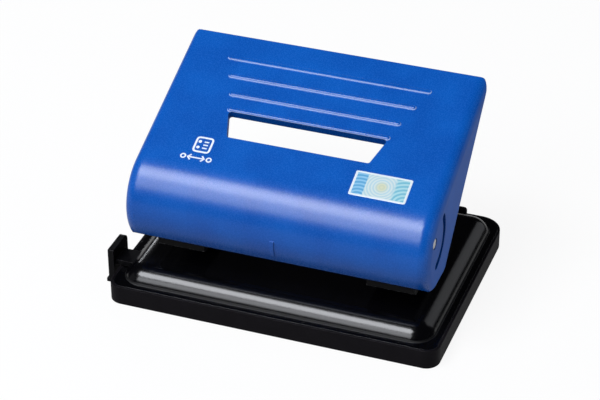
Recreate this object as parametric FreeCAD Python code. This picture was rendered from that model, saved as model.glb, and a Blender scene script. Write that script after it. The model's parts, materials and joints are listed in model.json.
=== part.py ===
import FreeCAD, Part
import math
import os
from FreeCAD import Vector

# Two-hole desk punch: a blue moulded lever cover hinged at its nose over a
# black pressed base, with a chip tray under it and a paper guide at its left.
# Millimetres.  X runs along the base, Y from the user towards the back, Z up.
# The origin is the middle of the tray's underside.

# Shared working values
weld = 0.5            # how far fused shapes sink into each other
past = 1.0            # how far a cutting shape runs past a face
run_gap = 0.05        # radial clearance of a turning or sliding fit
small_edge = 0.25     # broken edge on small turned and stamped pieces

# Chip tray
tray_side = 13.5        # from a punch frame's outer side to the tray's
tray_depth = 90.0
tray_corner = 9.0
front_corner = 5.2
rim_height = 7.5
tray_wall = 0.9         # thin lip that stands round the plate's edge
tray_floor = 1.8
tray_edge = 0.25
tray_inner_round = 1.5
seat_drop = 1.3       # seat of the base plate below the rim
seat_ledge = 2.7
tray_rib = 1.2
tray_rib_height = 1.6
thumb_tab_width = 11.5
thumb_tab_height = 2.8
thumb_tab_depth = 2.0
thumb_tab_inset = 15.0
thumb_tab_round = 1.2

# Pressed base plate
sheet = 1.2
plateau_rise = 5.0    # flat top above the tray's rim
rim_gap = 0.15
valley = 2.35           # flat flange round the foot of the shoulders
shoulder = 8.5
top_corner = 0.2         # corner radius of the flat top
root_round = 0.4
gate_round = 0.6

# Punching
hole_spacing = 80.0
punch_diameter = 5.5
die_gap = 0.05
edge_to_hole = 12.0
throat = 4.3
tip_setback = 0.2
tip_notch = 1.4
press_arm = 17.0
press_angle = 21.0

# Hinge
hinge_setback = 15.6  # hinge axis behind the tray's front
hinge_z = 42.0
hinge_diameter = 4.2
ear_radius = 3.3
pin_recess = 0.2
pin_edge = 0.3
groove_depth = 0.6
clip_thickness = 0.8
clip_play = 0.1
clip_rim = 1.5
clip_mouth = 1.3      # mouth of a spring clip, in bore radii
clip_eye = 0.45       # relief eyes of a spring clip, in bore radii

# Punch frames
frame_sheet = 1.5
frame_width = 18.0
frame_foot = 20.0
foot_flange = 4.0
brace_run = 7.0
crown_run = 2.5
crown_drop = 4.5
jaw_setback = 3.0
jaw_flat = 5.0
jaw_curl = 2.0
guide_rise = 10.2
guide_depth = 13.0
rivet_diameter = 3.0
rivet_head = 5.4
rivet_head_height = 1.1
rivet_front = 6.0
rivet_back = 5.0
die_plate_thickness = 2.0
die_plate_corner = 2.0
die_plate_margin = 1.0
die_relief = 0.45

# Punch hardware
cross_pin_diameter = 3.0
cross_pin_gap = 0.02
cross_pin_proud = 0.2
punch_crown = 0.9
punch_edge = 0.4
seat_thickness = 0.8
seat_gap = 0.5
seat_to_pin = 5.95
spring_wire = 0.7
spring_play = 0.5
spring_end_rise = 0.75
spring_half_turns = 5

# Press levers
lever_sheet = 1.2
lever_inside = 10.0
lever_length = 34.0
lever_depth = 6.2
lever_belly_front = 5.0
lever_belly_back = 4.0
lever_belly_round = 2.5
lever_heel = 3.2
lever_web_start = 4.0
slot_spare = 0.2
screw_front = 8.0
screw_back = 5.0
screw_diameter = 2.5
screw_bite = 3.3
screw_spare = 0.3
screw_head = 4.6
screw_head_height = 1.4
screw_head_round = 0.7
recess_reach = 1.3
recess_half = 0.3
boss_diameter = 6.0

# Lever cover
cheek_room = 5.9      # between a punch frame and the cheek's inner face
cover_wall = 2.2
rear_wall = 1.8
cover_shift = -0.9       # the cover's side play is taken up to the left
cover_tilt = 21.0
nose_radius = 19.0
hinge_bearing = 33.7  # direction from the nose axis forwards and up to the hinge
ear_gap = 0.16
side_round = 4.5
panel_length = 63.9
panel_corner = 5.5
lip_ahead = 16.7      # front lip, from the nose axis
lip_below = 8.8
lip_run = 3.6
cheek_below = 11.6
heel_behind = 14.0
heel_drop = 5.0
window_front = 15.0
window_back = 26.4
window_front_half = 26.8
window_back_half = 30.2
window_corner = 1.0
window_collar = 0.8
collar_width = 1.6
strip_count = 3
strip_width = 2.0
strip_height = 0.7
lip_overhang = 0.8      # how far the window's own strip runs past its corners
lip_set = 0.85          # middle of that strip behind the window's rear edge
strip_pitch = 8.3
strip_from_end = 13.0
strip_half = 32.8
strip_spread = 3.2
slot_radius = 11.1
slot_width = 3.0
slot_top = 26.0
slot_bottom = -76.0
cover_rib = 1.4
cover_rib_depth = 3.0
panel_rib_pitch = 24.0
nose_rib_pitch = 17.0
nose_rib_depth = 4.5
rib_to_pin = 0.5
hinge_boss = 2.5
mark_width = 1.4
mark_height = 0.4
mark_rise = 3.0       # foot of the centre mark above the lip
mark_over = 0.7       # head of the centre mark above the nose axis

# Paper guide
bar_width = 8.0
bar_thickness = 2.0
bar_ahead = 19.6      # front edge of the bar ahead of the punches
bar_gap = 0.3
bar_length = 115.8
bar_corner = 1.5
stop_thickness = 2.2
stop_gap = 1.6
stop_depth = 12.8
stop_ahead = 2.2
stop_foot = 0.8
stop_over_plateau = 2.5
stop_toe = 0.9
stop_toe_height = 1.6
paper_heights = (148.0, 210.0, 297.0)
notch_radius = 0.9
notch_depth = 0.35
channel_sheet = 1.0
channel_gap = 0.1
channel_length = 36.0
channel_flange = 2.2
leaf_thickness = 0.3
leaf_length = 18.0
leaf_margin = 1.5
leaf_gap = 0.15

# Tied dimensions
hole_x = hole_spacing / 2
tray_width = hole_spacing + frame_width + 2 * tray_side
punch_r = punch_diameter / 2
hinge_y = hinge_setback - tray_depth / 2
punch_y = hinge_y + press_arm
stop_y = punch_y + edge_to_hole
foot_back = stop_y + frame_foot
half_press = math.radians(press_angle / 2)
cross_z = hinge_z + press_arm * math.tan(half_press)
seat_height = rim_height - seat_drop
flange_top = seat_height + sheet
plateau_height = rim_height + plateau_rise
foot_drop = shoulder - plateau_height + flange_top
plateau_inset = tray_wall + rim_gap + valley + math.sqrt(shoulder ** 2 - foot_drop ** 2)
plate_under = plateau_height - sheet
die_under = plate_under - die_plate_thickness
throat_top = plateau_height + throat
tip_z = throat_top + tip_setback
guide_top = throat_top + guide_rise + frame_sheet
spring_top = cross_z - seat_to_pin
hinge_r = hinge_diameter / 2
cover_half = hole_x + frame_width / 2 + cheek_room + cover_wall
cover_under = nose_radius - cover_wall
strip_ball = (strip_width ** 2 / 4 + strip_height ** 2) / (2 * strip_height)
hinge_reach = cover_under - ear_radius - ear_gap
nose_y = hinge_y + hinge_reach * math.cos(math.radians(hinge_bearing))
nose_z = hinge_z - hinge_reach * math.sin(math.radians(hinge_bearing))
tilt = math.radians(cover_tilt)
level_bearing = math.radians(180 - hinge_bearing - cover_tilt)
hinge_s = hinge_reach * math.cos(level_bearing)
hinge_n = hinge_reach * math.sin(level_bearing)
web_top = hinge_n + ear_radius
bar_front = punch_y - bar_ahead
bar_z = rim_height + bar_gap
bar_top = bar_z + bar_thickness
stop_face = -tray_width / 2 - stop_gap
channel_start = -tray_width / 2 + plateau_inset + bar_gap
channel_front = bar_front - channel_gap
channel_back = bar_front + bar_width + channel_gap
leaf_x = channel_start + channel_length / 2


def flat_xy(z):
    """Place outline points on a level plane at height z."""
    return lambda a, b: Vector(a, b, z)


def flat_yz(x):
    """Place outline points on an upright plane across the punch at x."""
    return lambda a, b: Vector(x, a, b)


def flat_xz(y):
    """Place outline points on an upright plane along the punch at y."""
    return lambda a, b: Vector(a, y, b)


def outline(points, place):
    """Closed face through (a, b, radius) corners, each corner rounded."""
    starts = []
    ends = []
    mids = []
    for i, (a, b, r) in enumerate(points):
        here = Vector(a, b, 0)
        before = Vector(*points[i - 1][:2], 0) - here
        after = Vector(*points[(i + 1) % len(points)][:2], 0) - here
        before.normalize()
        after.normalize()
        half = before.getAngle(after) / 2
        reach = r / math.tan(half)
        middle = before + after
        if r > 0:
            middle.normalize()
        starts.append(here + before * reach)
        ends.append(here + after * reach)
        mids.append(here + middle * (r / math.sin(half) - r))
    edges = []
    for i, (a, b, r) in enumerate(points):
        p0 = place(starts[i].x, starts[i].y)
        p1 = place(ends[i].x, ends[i].y)
        if r > 0:
            pm = place(mids[i].x, mids[i].y)
            edges.append(Part.Arc(p0, pm, p1).toShape())
        nxt = starts[(i + 1) % len(points)]
        p2 = place(nxt.x, nxt.y)
        if p1.distanceToPoint(p2) > 1e-6:
            edges.append(Part.LineSegment(p1, p2).toShape())
    return Part.Face(Part.Wire(edges))


def rounded_block(width, depth, corner, z0, z1):
    """Upright block with rounded corners, centred on the origin."""
    w = width / 2
    d = depth / 2
    pts = [(-w, -d, corner), (w, -d, corner), (w, d, corner), (-w, d, corner)]
    return outline(pts, flat_xy(z0)).extrude(Vector(0, 0, z1 - z0))


def tray_plan(inset, z0, z1):
    """Block with the tray's outline, its front corners tighter, drawn in all round."""
    w = tray_width / 2 - inset
    d = tray_depth / 2 - inset
    pts = [(-w, -d, front_corner - inset), (w, -d, front_corner - inset),
           (w, d, tray_corner - inset), (-w, d, tray_corner - inset)]
    return outline(pts, flat_xy(z0)).extrude(Vector(0, 0, z1 - z0))


def plate_yz(points, x0, x1):
    """Plate cut to a side outline, from x0 to x1."""
    return outline(points, flat_yz(x0)).extrude(Vector(x1 - x0, 0, 0))


def box(x0, x1, y0, y1, z0, z1):
    """Block between two corners."""
    return Part.makeBox(x1 - x0, y1 - y0, z1 - z0, Vector(x0, y0, z0))


def rod_x(x0, x1, y, z, r):
    """Round bar along the punch."""
    return Part.makeCylinder(r, x1 - x0, Vector(x0, y, z), Vector(1, 0, 0))


def rod_z(x, y, z0, z1, r):
    """Upright round bar."""
    return Part.makeCylinder(r, z1 - z0, Vector(x, y, z0), Vector(0, 0, 1))


def top_edges(shape):
    """Edges that lie in the top face of a shape."""
    top = shape.BoundBox.ZMax
    return [e for e in shape.Edges if e.BoundBox.ZMin > top - 0.02]


def bottom_edges(shape):
    """Edges that lie in the bottom face of a shape."""
    low = shape.BoundBox.ZMin
    return [e for e in shape.Edges if e.BoundBox.ZMax < low + 0.02]


def touch(a, b, centre_a, centre_b, r, side):
    """Where a straight edge from the point (a, b) touches a circle, on one side of it."""
    away = math.atan2(b - centre_b, a - centre_a)
    spread = math.acos(r / math.hypot(b - centre_b, a - centre_a))
    angle = away + side * spread
    return (centre_a + r * math.cos(angle), centre_b + r * math.sin(angle), 0)


def mirrored(shape):
    """The same piece on the left of the punch."""
    return shape.mirror(Vector(0, 0, 0), Vector(1, 0, 0))


def save(name, shape):
    """Write one node to its own file."""
    shape.exportStep("parts/" + name + ".step")


def tray_shell():
    """Open tray with a ledge that carries the pressed plate."""
    body = tray_plan(0, 0, rim_height)
    body = body.makeFillet(tray_edge, top_edges(body))
    body = body.makeChamfer(tray_edge, bottom_edges(body))
    body = body.cut(tray_plan(tray_wall, seat_height, rim_height + past))
    wall = tray_wall + seat_ledge
    hollow = rounded_block(tray_width - 2 * wall, tray_depth - 2 * wall,
                           tray_corner - wall, tray_floor, rim_height)
    return body.cut(hollow.makeFillet(tray_inner_round, bottom_edges(hollow)))


def thumb_tab(side):
    """Raised tab on the rear rim, pressed to part the tray from the plate."""
    x1 = tray_width / 2 - thumb_tab_inset
    x0 = x1 - thumb_tab_width
    top = rim_height + thumb_tab_height
    pts = [(x0, seat_height, 0), (x1, seat_height, 0), (x1, top, thumb_tab_round),
           (x0, top, thumb_tab_round)]
    depth = thumb_tab_depth
    tab = outline(pts, flat_xz(tray_depth / 2 - depth)).extrude(Vector(0, depth, 0))
    tab = tab.makeFillet(thumb_tab_round / 2, top_edges(tab))
    return tab if side > 0 else mirrored(tab)


def chip_tray():
    """Tray that catches the paper chips."""
    tray = tray_shell()
    long_half = tray_width / 2 - tray_wall - seat_ledge / 2
    deep_half = tray_depth / 2 - tray_wall - seat_ledge / 2
    low = tray_floor - weld
    top = tray_floor + tray_rib_height
    half = tray_rib / 2
    for x in (-hole_x, 0, hole_x):
        tray = tray.fuse(box(x - half, x + half, -deep_half, deep_half, low, top))
    tray = tray.fuse(box(-long_half, long_half, -half, half, low, top))
    for side in (-1, 1):
        tray = tray.fuse(thumb_tab(side))
    return tray.removeSplitter()


def pressed_form(inset):
    """Raised form of the plate, drawn in by the sheet thickness for its inside."""
    edge = plateau_inset - shoulder + inset
    top = plateau_height - inset
    form = rounded_block(tray_width - 2 * edge, tray_depth - 2 * edge,
                         shoulder + top_corner - inset, top - shoulder - past, top)
    return form.makeFillet(shoulder - inset, top_edges(form))


def root_edges(plate):
    """Edges where the shoulders rise out of the flange."""
    half = tray_depth / 2 - tray_wall - rim_gap - valley / 2
    wide = tray_width / 2 - tray_wall - rim_gap - valley / 2
    flat = [e for e in plate.Edges
            if abs(e.BoundBox.ZMin - flange_top) < 0.01 and e.BoundBox.ZLength < 0.01]
    return [e for e in flat if max(abs(e.BoundBox.YMin), abs(e.BoundBox.YMax)) < half
            and max(abs(e.BoundBox.XMin), abs(e.BoundBox.XMax)) < wide]


def tab_notch():
    """Notch in the plate's rear edge that lets a thumb tab through."""
    x1 = tray_width / 2 - thumb_tab_inset + rim_gap
    x0 = x1 - thumb_tab_width - 2 * rim_gap
    y0 = tray_depth / 2 - thumb_tab_depth - rim_gap
    return box(x0, x1, y0, tray_depth / 2, seat_height - past, flange_top + past)


def guide_gate():
    """Slot through the left shoulder that lets the guide bar out."""
    y0 = bar_front - bar_gap
    y1 = bar_front + bar_width + bar_gap
    z0 = bar_z - bar_gap
    z1 = bar_top + bar_gap
    pts = [(y0, z0, gate_round), (y1, z0, gate_round), (y1, z1, gate_round), (y0, z1, gate_round)]
    return plate_yz(pts, -tray_width / 2, channel_start)


def base_plate():
    """Black plate pressed from one sheet: flange, rounded shoulders, flat top."""
    flange = tray_plan(tray_wall + rim_gap, seat_height, flange_top)
    above = tray_plan(0, seat_height, plateau_height)
    plate = flange.fuse(pressed_form(0).common(above)).removeSplitter()
    plate = plate.makeFillet(root_round, root_edges(plate))
    plate = plate.cut(pressed_form(sheet)).cut(tab_notch()).cut(mirrored(tab_notch()))
    low = plate_under - past
    high = plateau_height + past
    for side in (-1, 1):
        plate = plate.cut(rod_z(side * hole_x, punch_y, low, high, punch_r + die_gap))
        for y in rivet_rows():
            plate = plate.cut(rod_z(side * hole_x, y, low, high, rivet_diameter / 2 + run_gap))
    return plate.cut(guide_gate()).removeSplitter()


def rivet_rows():
    """Where the two rivets of each frame stand, behind the paper stop."""
    return (stop_y + rivet_front, foot_back - rivet_back)


def die_plate():
    """Thick plate under the pressed sheet that stiffens the die hole."""
    x0 = hole_x - frame_width / 2
    x1 = hole_x + frame_width / 2
    y0 = channel_back + channel_sheet + channel_flange + bar_gap
    y1 = foot_back - die_plate_margin
    pts = [(x0, y0, die_plate_corner), (x1, y0, die_plate_corner),
           (x1, y1, die_plate_corner), (x0, y1, die_plate_corner)]
    plate = outline(pts, flat_xy(die_under)).extrude(Vector(0, 0, die_plate_thickness))
    low = die_under - past
    high = plate_under + past
    plate = plate.cut(rod_z(hole_x, punch_y, low, high, punch_r + die_relief))
    for y in rivet_rows():
        plate = plate.cut(rod_z(hole_x, y, low, high, rivet_diameter / 2 + run_gap))
    return plate


def frame_side(x0):
    """One upright of a punch frame, with its hinge ear."""
    jaw = (hinge_y + jaw_setback, throat_top)
    crown = (punch_y + crown_run, hinge_z - crown_drop)
    ear = (hinge_y, hinge_z, ear_radius)
    pts = [(*jaw, 0.8), (stop_y, throat_top, 0.6),
           (stop_y, plateau_height, 0), (foot_back, plateau_height, 0),
           (foot_back, plateau_height + foot_flange, 1.5), (stop_y + brace_run, guide_top, 5),
           (*crown, 4), touch(*crown, *ear, 1), touch(*jaw, *ear, -1)]
    side = plate_yz(pts, x0, x0 + frame_sheet)
    side = side.fuse(rod_x(x0, x0 + frame_sheet, hinge_y, hinge_z, ear_radius))
    hole = rod_x(x0 - past, x0 + frame_sheet + past, hinge_y, hinge_z, hinge_r + cross_pin_gap)
    return side.cut(hole)


def punch_frame():
    """Folded steel frame: two uprights, foot, stop wall and two punch guides."""
    x0 = hole_x - frame_width / 2
    x1 = hole_x + frame_width / 2
    t = frame_sheet
    frame = frame_side(x0).fuse(frame_side(x1 - t))
    frame = frame.fuse(box(x0, x1, stop_y, foot_back, plateau_height, plateau_height + t))
    frame = frame.fuse(box(x0, x1, stop_y, stop_y + t, plateau_height, throat_top + t))
    flat = hinge_y + jaw_flat
    tip = hinge_y + jaw_setback - t / 4
    jaw = [(flat, throat_top, 1.5), (stop_y + t, throat_top, 0), (stop_y + t, throat_top + t, 0),
           (flat, throat_top + t, 1.5), (tip, throat_top + t + jaw_curl, 0),
           (tip - t / 2, throat_top + jaw_curl / 2, 0)]
    frame = frame.fuse(plate_yz(jaw, x0, x1))
    half = guide_depth / 2
    frame = frame.fuse(box(x0, x1, punch_y - half, punch_y + half, guide_top - t, guide_top))
    frame = frame.cut(rod_z(hole_x, punch_y, plateau_height, guide_top + past, punch_r + run_gap))
    for y in rivet_rows():
        frame = frame.cut(rod_z(hole_x, y, plateau_height - past, plateau_height + t + past,
                                rivet_diameter / 2 + run_gap))
    return frame.removeSplitter()


def dome():
    """Domed rivet head standing on the origin."""
    r = rivet_head / 2
    h = rivet_head_height
    ball = (r * r + h * h) / (2 * h)
    rim = math.degrees(math.asin((ball - h) / ball))
    return Part.makeSphere(ball, Vector(0, 0, h - ball), Vector(0, 0, 1), rim, 90, 360)


def rivet(x, y):
    """Round-headed rivet through foot, plate and die plate."""
    high = plateau_height + frame_sheet
    head = dome()
    head.translate(Vector(x, y, high))
    tail = dome()
    tail.rotate(Vector(0, 0, 0), Vector(1, 0, 0), 180)
    tail.translate(Vector(x, y, die_under))
    shank = rod_z(x, y, die_under, high, rivet_diameter / 2)
    return shank.fuse([head, tail]).removeSplitter()


def frame_rivets():
    """The four rivets that hold both frames."""
    return Part.makeCompound([rivet(side * hole_x, y) for side in (-1, 1) for y in rivet_rows()])


def groove_cutter(radius, length):
    """Ring that turns a clip groove into a pin of this radius, standing on the origin."""
    ring = Part.makeCylinder(radius + past, length)
    return ring.cut(Part.makeCylinder(radius - groove_depth, length))


def hinge_pin():
    """Long steel pin through both frames and both cheeks of the cover."""
    half = cover_half - pin_recess
    pin = rod_x(cover_shift - half, cover_shift + half, hinge_y, hinge_z, hinge_r)
    pin = pin.makeChamfer(pin_edge, [pin.Edges[0], pin.Edges[2]])
    groove = groove_cutter(hinge_r, clip_thickness + clip_play)
    groove.rotate(Vector(0, 0, 0), Vector(0, 1, 0), 90)
    groove.translate(Vector(clip_x() - clip_play / 2, hinge_y, hinge_z))
    return pin.cut(groove).cut(mirrored(groove))


def clip_x():
    """Inner face of a hinge clip, just outside its frame."""
    return hole_x + frame_width / 2 + clip_play


def open_ring(radius, outer):
    """Flat spring clip for a groove, lying level, with its mouth towards the user."""
    inner = radius - groove_depth + run_gap
    low = -past
    deep = clip_thickness + 2 * past
    ring = Part.makeCylinder(outer, clip_thickness)
    ring = ring.cut(Part.makeCylinder(inner, deep, Vector(0, 0, low)))
    mouth = clip_mouth * inner / 2
    ring = ring.cut(box(-mouth, mouth, -outer - past, 0, low, low + deep))
    for side in (-1, 1):
        eye = Vector(side * 2 * clip_eye * inner, (1 - clip_eye / 2) * inner, low)
        ring = ring.cut(Part.makeCylinder(clip_eye * inner, deep, eye))
    return ring


def hinge_clips():
    """Two spring clips that keep the hinge pin in the frames."""
    clip = open_ring(hinge_r, ear_radius - clip_play)
    clip.rotate(Vector(0, 0, 0), Vector(0, 1, 0), 90)
    clip.translate(Vector(clip_x(), hinge_y, hinge_z))
    return Part.makeCompound([clip, mirrored(clip)])


def punch():
    """Hardened punch with a notched cutting end, two clip grooves and a pin hole."""
    top = cross_z + cross_pin_diameter / 2 + punch_crown
    body = rod_z(hole_x, punch_y, tip_z, top, punch_r)
    body = body.makeChamfer(punch_edge, top_edges(body))
    x0 = hole_x - punch_r
    x1 = hole_x + punch_r
    notch = outline([(x0 - past, tip_z - past, 0), (x1 + past, tip_z - past, 0),
                     (x1, tip_z, 0), (hole_x, tip_z + tip_notch, 0), (x0, tip_z, 0)],
                    flat_xz(punch_y - punch_r - past))
    body = body.cut(notch.extrude(Vector(0, punch_diameter + 2 * past, 0)))
    for z in clip_heights():
        groove = groove_cutter(punch_r, clip_thickness + clip_play)
        groove.translate(Vector(hole_x, punch_y, z - clip_play / 2))
        body = body.cut(groove)
    return body.cut(rod_x(x0 - past, x1 + past, punch_y, cross_z,
                          cross_pin_diameter / 2 + cross_pin_gap))


def clip_heights():
    """Lower faces of the stop clip and of the spring clip on each punch."""
    return (guide_top - frame_sheet - clip_thickness - clip_play, spring_top + seat_thickness)


def punch_clips():
    """Stop clip under the upper guide and clip over the spring seat."""
    group = []
    for z in clip_heights():
        clip = open_ring(punch_r, punch_r + clip_rim)
        clip.translate(Vector(hole_x, punch_y, z))
        group.append(clip)
    return Part.makeCompound(group)


def spring_seat():
    """Cupped washer that the return spring pushes up."""
    high = spring_top + seat_thickness
    seat = rod_z(hole_x, punch_y, spring_top, high, lever_inside / 2 - seat_gap)
    seat = seat.makeChamfer(small_edge, top_edges(seat))
    return seat.cut(rod_z(hole_x, punch_y, spring_top - past, high + past, punch_r + run_gap))


def half_coil(r, z, rise, side):
    """Half a turn of spring wire that climbs by rise, from one side to the other."""
    start = Vector(side * r, 0, z)
    middle = Vector(0, 0, z + rise / 2)
    across = (middle - start).normalize()
    axis = across.cross(Vector(0, side, 0))
    ring = Part.Face(Part.Wire(Part.makeCircle(spring_wire / 2, start, Vector(0, 1, 0))))
    return ring.revolve(middle, axis, -180)


def return_spring():
    """Coil spring round the punch, with closed ends, between upper guide and seat."""
    r = punch_r + spring_play + spring_wire / 2
    low = guide_top + spring_wire / 2
    climb = spring_top - guide_top - spring_wire - 2 * spring_end_rise
    rises = [0, spring_end_rise] + [climb / spring_half_turns] * spring_half_turns
    rises += [spring_end_rise, 0]
    turns = []
    side = 1
    for rise in rises:
        turns.append(half_coil(r, low, rise, side))
        low += rise
        side = -side
    spring = turns[0].fuse(turns[1:])
    spring.translate(Vector(hole_x, punch_y, 0))
    return spring


def cross_pin():
    """Short pin through punch and press lever."""
    half = lever_inside / 2 + lever_sheet + cross_pin_proud
    pin = rod_x(hole_x - half, hole_x + half, punch_y, cross_z, cross_pin_diameter / 2)
    return pin.makeChamfer(small_edge, [pin.Edges[0], pin.Edges[2]])


def tip_up(shape):
    """Turn a piece drawn level, with the nose axis at the origin, into place."""
    turned = shape.copy()
    turned.rotate(Vector(0, 0, 0), Vector(1, 0, 0), cover_tilt)
    turned.translate(Vector(0, nose_y, nose_z))
    return turned


def screw_rows():
    """The two screws of each lever, in the level drawing."""
    return (hinge_s + screw_front, hinge_s + lever_length - screw_back)


def pin_slot(x0, x1):
    """Slot for the cross pin, along the line that its two end places share."""
    r = cross_pin_diameter / 2 + run_gap
    near = press_arm - slot_spare
    far = press_arm / math.cos(half_press) + slot_spare
    slot = box(x0, x1, near, far, -r, r)
    slot = slot.fuse([rod_x(x0, x1, near, 0, r), rod_x(x0, x1, far, 0, r)])
    slot.rotate(Vector(0, 0, 0), Vector(1, 0, 0), math.degrees(half_press) - cover_tilt)
    slot.translate(Vector(0, hinge_s, hinge_n))
    return slot


def lever_side(x0):
    """One cheek of a press lever, with hinge hole and slot for the cross pin."""
    x1 = x0 + lever_sheet
    low = hinge_n - lever_depth
    end = hinge_s + lever_length
    belly = (hinge_s + press_arm - lever_belly_front, low)
    rise = hinge_s + press_arm + lever_belly_back
    pts = [(hinge_s, web_top, 0), touch(*belly, hinge_s, hinge_n, ear_radius, -1),
           (*belly, lever_belly_round), (rise, low, lever_belly_round),
           (rise + lever_belly_back, hinge_n - lever_belly_round, lever_belly_round),
           (end, web_top - lever_heel, 1), (end, web_top, 0)]
    side = plate_yz(pts, x0, x1)
    side = side.fuse(rod_x(x0, x1, hinge_s, hinge_n, ear_radius))
    side = side.cut(rod_x(x0 - past, x1 + past, hinge_s, hinge_n, hinge_r + run_gap))
    return side.cut(pin_slot(x0 - past, x1 + past))


def press_lever():
    """Steel channel under the cover that drives one punch."""
    x0 = hole_x - lever_inside / 2 - lever_sheet
    x1 = hole_x + lever_inside / 2 + lever_sheet
    low = web_top - lever_sheet
    lever = lever_side(x0).fuse(lever_side(x1 - lever_sheet))
    lever = lever.fuse(box(x0, x1, hinge_s + lever_web_start, hinge_s + lever_length, low, web_top))
    for y in screw_rows():
        lever = lever.cut(rod_z(hole_x, y, low - past, web_top + past,
                                screw_diameter / 2 + run_gap))
    return tip_up(lever.removeSplitter())


def lever_screw(x, y):
    """Pan-head screw with a cross recess, driven up into the cover."""
    low = web_top - lever_sheet
    head = rod_z(x, y, low - screw_head_height, low, screw_head / 2)
    head = head.makeFillet(screw_head_round, bottom_edges(head))
    screw = head.fuse(rod_z(x, y, low, web_top + screw_bite, screw_diameter / 2))
    for a, b in ((recess_reach, recess_half), (recess_half, recess_reach)):
        screw = screw.cut(box(x - a, x + a, y - b, y + b,
                              low - screw_head_height - past, low - screw_head_height / 2))
    return screw.removeSplitter()


def lever_screws():
    """The four screws that hold both levers to the cover."""
    group = [lever_screw(side * hole_x, y) for side in (-1, 1) for y in screw_rows()]
    return Part.makeCompound([tip_up(screw) for screw in group])


def cover_form(inset, end_wall):
    """Nose and panel in one rounded section; the insets give the hollow inside."""
    half = cover_half - inset
    top = nose_radius - inset
    edge = side_round - inset
    deep = nose_z
    length = panel_length - end_wall
    section = outline([(-half, -deep, 0), (half, -deep, 0), (half, top, edge),
                       (-half, top, edge)], flat_xz(0))
    panel = section.extrude(Vector(0, length, 0))
    corner = panel_corner - inset
    plan = outline([(-half, -past, 0), (half, -past, 0), (half, length, corner),
                    (-half, length, corner)], flat_xy(-deep - past))
    panel = panel.common(plan.extrude(Vector(0, 0, deep + top + 2 * past)))
    bend = outline([(-half, 0, 0), (half, 0, 0), (half, top, edge), (-half, top, edge)],
                   flat_xz(0))
    nose = bend.revolve(Vector(0, 0, 0), Vector(1, 0, 0), 180)
    return panel.fuse(nose).removeSplitter()


def strip_rows():
    """Middle of each raised grip strip, counted back from the panel's rear edge."""
    last = panel_length - strip_from_end
    return [last - strip_pitch * (strip_count - 1 - i) for i in range(strip_count)]


def strip(row, half):
    """Raised strip with a round back and round ends, across the panel at a row."""
    height = nose_radius + strip_height - strip_ball
    rod = rod_x(-half, half, row, height, strip_ball)
    ends = [Part.makeSphere(strip_ball, Vector(x, row, height)) for x in (-half, half)]
    return rod.fuse(ends).removeSplitter()


def panel_ribs():
    """Ribs under the panel, between the grip strips and from there to the rear edge."""
    rows = strip_rows()
    half = cover_half - cover_wall
    t = cover_rib / 2
    low = cover_under - cover_rib_depth
    high = cover_under + weld
    first = (rows[0] + rows[1]) / 2
    last = (rows[-2] + rows[-1]) / 2
    ribs = [box(-half, half, y - t, y + t, low, high) for y in (first, last)]
    for x in (-panel_rib_pitch, 0, panel_rib_pitch):
        ribs.append(box(x - t, x + t, first, panel_length - rear_wall, low, high))
    return ribs


def nose_ribs():
    """Curved ribs inside the front of the nose, between the punch frames."""
    ribs = []
    t = cover_rib / 2
    for i in range(4):
        x = (i - 1.5) * nose_rib_pitch
        ring = rod_x(x - t, x + t, 0, 0, cover_under + weld)
        ring = ring.cut(rod_x(x - cover_rib, x + cover_rib, 0, 0, cover_under - nose_rib_depth))
        ribs.append(ring.common(box(x - cover_rib, x + cover_rib, -nose_radius, 0,
                                    -nose_radius / 3, nose_radius)))
    return ribs


def window_block(grow, z0, z1):
    """Block with the window's outline, grown all round."""
    slope = (window_back_half - window_front_half) / (window_back - window_front)
    half = window_front_half + grow * (math.hypot(1, slope) - slope)
    front = window_front - grow
    back = window_back + grow
    wide = half + slope * (back - front)
    corner = window_corner + grow / 2
    pts = [(-half, front, corner), (half, front, corner), (wide, back, corner),
           (-wide, back, corner)]
    return outline(pts, flat_xy(z0)).extrude(Vector(0, 0, z1 - z0))


def side_profile():
    """Side outline that trims the cheeks, drawn in place."""
    far = nose_radius + side_round + screw_front
    lip_y = nose_y - lip_ahead
    cheek_z = nose_z - cheek_below
    rise = (cheek_below - lip_below) / lip_run
    back_y = nose_y + panel_length * math.cos(tilt) - nose_radius * math.sin(tilt)
    back_z = nose_z + panel_length * math.sin(tilt) + nose_radius * math.cos(tilt)
    heel_z = back_z - heel_drop
    heel_y = nose_y + heel_behind + heel_z - nose_z
    turn_y = nose_y + heel_behind - cheek_below
    over_y = back_y - far * math.cos(tilt)
    over_z = back_z - far * math.sin(tilt) + strip_height + weld
    front_y = nose_y - far
    front_z = cheek_z + rise * (lip_y + lip_run - front_y)
    return [(lip_y + lip_run, cheek_z, 1.5), (turn_y, cheek_z, 3.0), (heel_y, heel_z, 4.0),
            (back_y, back_z, 0.9), (over_y, over_z, 0), (front_y, nose_z + far, 0),
            (front_y, front_z, 0)]


def cheek_slot(x0, x1):
    """Curved relief slot round the hinge that lets the cheek spring over the pin."""
    def at(radius, degrees):
        a = math.radians(degrees)
        return Vector(x0, hinge_y + radius * math.cos(a), hinge_z + radius * math.sin(a))
    outer = slot_radius + slot_width / 2
    inner = slot_radius - slot_width / 2
    middle = (slot_top + slot_bottom) / 2
    pad = math.degrees(slot_width / 2 / slot_radius)
    edges = [Part.Arc(at(outer, slot_top), at(outer, middle), at(outer, slot_bottom)),
             Part.Arc(at(outer, slot_bottom), at(slot_radius, slot_bottom - pad),
                      at(inner, slot_bottom)),
             Part.Arc(at(inner, slot_bottom), at(inner, middle), at(inner, slot_top)),
             Part.Arc(at(inner, slot_top), at(slot_radius, slot_top + pad), at(outer, slot_top))]
    face = Part.Face(Part.Wire([e.toShape() for e in edges]))
    return face.extrude(Vector(x1 - x0, 0, 0))


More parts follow.
